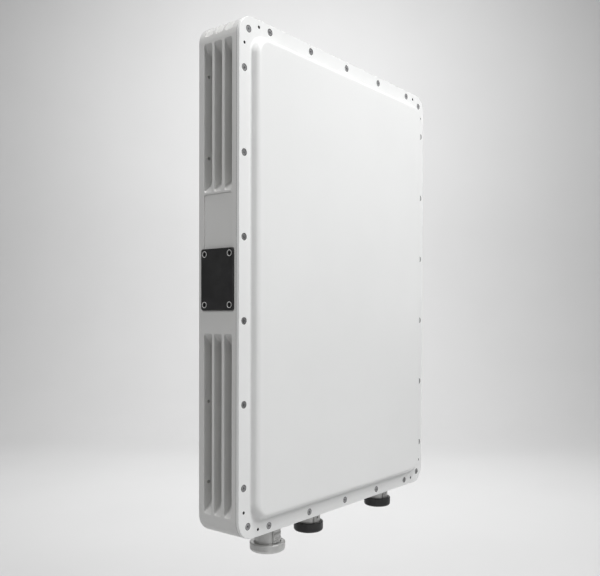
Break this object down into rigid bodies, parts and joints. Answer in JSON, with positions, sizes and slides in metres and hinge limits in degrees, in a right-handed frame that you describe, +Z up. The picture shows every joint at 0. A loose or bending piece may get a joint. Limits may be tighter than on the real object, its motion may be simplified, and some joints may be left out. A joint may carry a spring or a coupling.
{
  "type": "flat-panel phased-array antenna",
  "caption": "Upright flat-panel phased-array antenna: white radome on a slotted sealed housing, capped round connectors below and a bolted service cover on one side.",
  "frame": {"origin": "on the rear face, at the centre of the four rear mounting bolts (mid-width and mid-height)", "axes": "+Z up, -Y the way the radome faces, +Y out of the rear face, +X to the right seen from the front"},
  "size_m": [0.466, 0.0815, 0.678],
  "materials": {
    "radome_white": "satin white moulding",
    "housing_paint": "satin light grey powder coat on cast aluminium",
    "stainless_screws": "satin stainless",
    "cover_black": "satin charcoal powder coat on aluminium",
    "black_plastic": "matt black",
    "cap_black": "satin black glass-filled plastic",
    "cap_metal": "satin plated",
    "connector_metal": "satin plated",
    "black_rubber": "matt",
    "bare_aluminium": "milled",
    "copper": "plated",
    "circuit_board": "solder mask",
    "chip_black": "moulded",
    "thermal_pad": "soft matt",
    "white_foam": "closed-cell foam, rigid"
  },
  "bodies": {
    "unit": {"radome_cover": "radome_white", "radome_gasket": "black_rubber", "radome_screws": "stainless_screws", "housing": "housing_paint", "heat_sink_base": "housing_paint", "rear_fins": "housing_paint", "rear_mount_inserts": "stainless_screws", "pressure_vent": "black_plastic", "ground_stud": "stainless_screws", "ground_washer": "stainless_screws", "ground_nut": "stainless_screws", "foam_spacer": "white_foam", "patch_elements": "copper", "array_board": "circuit_board", "array_carrier": "bare_aluminium", "carrier_posts": "bare_aluminium", "carrier_screws": "stainless_screws", "shield_frame": "bare_aluminium", "beamformer_board": "circuit_board", "beamformer_chips": "chip_black", "chip_thermal_pads": "thermal_pad", "heat_spreader": "bare_aluminium", "spreader_screws": "stainless_screws", "pedestal_gap_pads": "thermal_pad", "processor_board": "circuit_board", "processor_chips": "chip_black", "processor_shield_can": "bare_aluminium", "power_board": "circuit_board", "power_magnetics": "chip_black", "power_capacitors": "chip_black", "board_headers": "chip_black", "board_spacers": "bare_aluminium", "board_screws": "stainless_screws", "converter_case": "bare_aluminium", "converter_lid": "bare_aluminium", "converter_board": "circuit_board", "power_lead": "black_rubber", "data_lead": "black_rubber", "signal_lead": "black_rubber", "service_cover": "cover_black", "service_cover_gasket": "black_rubber", "service_cover_screws": "stainless_screws", "service_board": "circuit_board", "service_sockets": "chip_black", "receptacle_left": "connector_metal", "receptacle_middle": "connector_metal", "receptacle_right": "connector_metal", "connector_inserts": "black_plastic", "connector_contacts": "copper", "connector_nuts": "connector_metal", "connector_orings": "black_rubber"},
    "cap_left": {"cap_disc_left": "cap_metal", "cap_seal_left": "black_rubber"},
    "ring_left": {"cap_ring_left": "cap_metal"},
    "cap_middle": {"cap_disc_middle": "cap_black", "cap_seal_middle": "black_rubber"},
    "ring_middle": {"cap_ring_middle": "cap_black"},
    "cap_right": {"cap_disc_right": "cap_black", "cap_seal_right": "black_rubber"},
    "ring_right": {"cap_ring_right": "cap_black"}
  },
  "joints": [
    {"name": "cap_left_slide", "type": "slide", "parent": "unit", "child": "cap_left", "axis": [0, 0, -1], "range_m": [0, 0.0072]},
    {"name": "ring_left_turn", "type": "hinge", "parent": "cap_left", "child": "ring_left", "pos_m": [-0.1296, -0.035, -0.353], "axis": [0, 0, -1], "range_deg": [0, 360]},
    {"name": "cap_middle_slide", "type": "slide", "parent": "unit", "child": "cap_middle", "axis": [0, 0, -1], "range_m": [0, 0.009]},
    {"name": "ring_middle_turn", "type": "hinge", "parent": "cap_middle", "child": "ring_middle", "pos_m": [-0.0401, -0.035, -0.3466], "axis": [0, 0, -1], "range_deg": [0, 450]},
    {"name": "cap_right_slide", "type": "slide", "parent": "unit", "child": "cap_right", "axis": [0, 0, -1], "range_m": [0, 0.009]},
    {"name": "ring_right_turn", "type": "hinge", "parent": "cap_right", "child": "ring_right", "pos_m": [0.143, -0.035, -0.3466], "axis": [0, 0, -1], "range_deg": [0, 450]}
  ],
  "couplings": [
    {"joint": "cap_left_slide", "follows": "ring_left_turn", "m_per_rad": 0.0011459},
    {"joint": "cap_middle_slide", "follows": "ring_middle_turn", "m_per_rad": 0.0011459},
    {"joint": "cap_right_slide", "follows": "ring_right_turn", "m_per_rad": 0.0011459}
  ]
}
